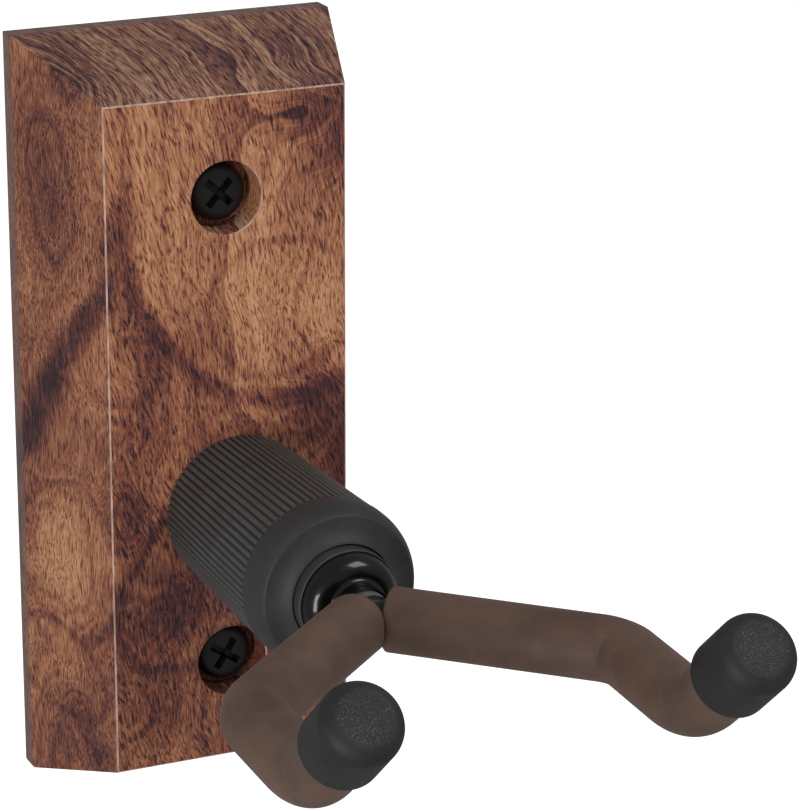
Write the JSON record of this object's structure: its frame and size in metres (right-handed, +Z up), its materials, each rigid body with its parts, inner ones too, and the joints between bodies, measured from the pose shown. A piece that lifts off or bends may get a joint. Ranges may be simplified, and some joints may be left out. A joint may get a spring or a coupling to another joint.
{
  "type": "wall guitar hanger",
  "caption": "Wall guitar hanger: a bevelled hardwood plate with a fluted hub, and a rubber-covered steel yoke that swivels in the hub and cradles a guitar's neck under its headstock.",
  "frame": {"origin": "middle of the plate's back face, on the wall plane, halfway between the two wall screws", "axes": "+X to the right as seen from the front, +Y into the wall, +Z up"},
  "size_m": [0.0752, 0.1846, 0.1334],
  "materials": {
    "hardwood": "oiled, open-pored, with wide dark and light bands",
    "black_screw": "black oxide, dull",
    "hub_plastic": "charcoal, satin, finely fluted",
    "collar_plastic": "charcoal, satin",
    "liner_steel": "zinc plated, drawn",
    "screw_brass": "plain brass, slightly dulled",
    "nylon": "natural nylon",
    "spindle_steel": "turned",
    "rod_steel": "black enamel",
    "ring_plastic": "charcoal, satin",
    "dome_enamel": "black, glossy",
    "washer_zinc": "bright zinc plated",
    "spring_steel": "blued spring steel",
    "insert_nylon": "blue nylon",
    "brown_rubber": "matt, smooth extruded tubing",
    "black_rubber": "matt, moulded, with a fine grained tip"
  },
  "bodies": {
    "plate": {"base_plate": "hardwood", "wall_screws": "black_screw", "hub_sleeve": "hub_plastic", "hub_collar": "collar_plastic", "hub_liner": "liner_steel", "flange_screws": "screw_brass", "front_bushing": "nylon", "rear_bushing": "nylon"},
    "yoke": {"yoke_spindle": "spindle_steel", "yoke_rod": "rod_steel", "boss_ring": "ring_plastic", "boss_dome": "dome_enamel", "thrust_washer": "nylon", "rear_washer": "washer_zinc", "disc_spring": "spring_steel", "lock_nut": "washer_zinc", "nut_insert": "insert_nylon", "left_tube": "brown_rubber", "right_tube": "brown_rubber", "left_cap": "black_rubber", "right_cap": "black_rubber"}
  },
  "joints": [
    {"name": "yoke_swivel", "type": "hinge", "parent": "plate", "child": "yoke", "pos_m": [0.0016, -0.0725, -0.0137], "axis": [0, -1, 0], "continuous": true}
  ]
}
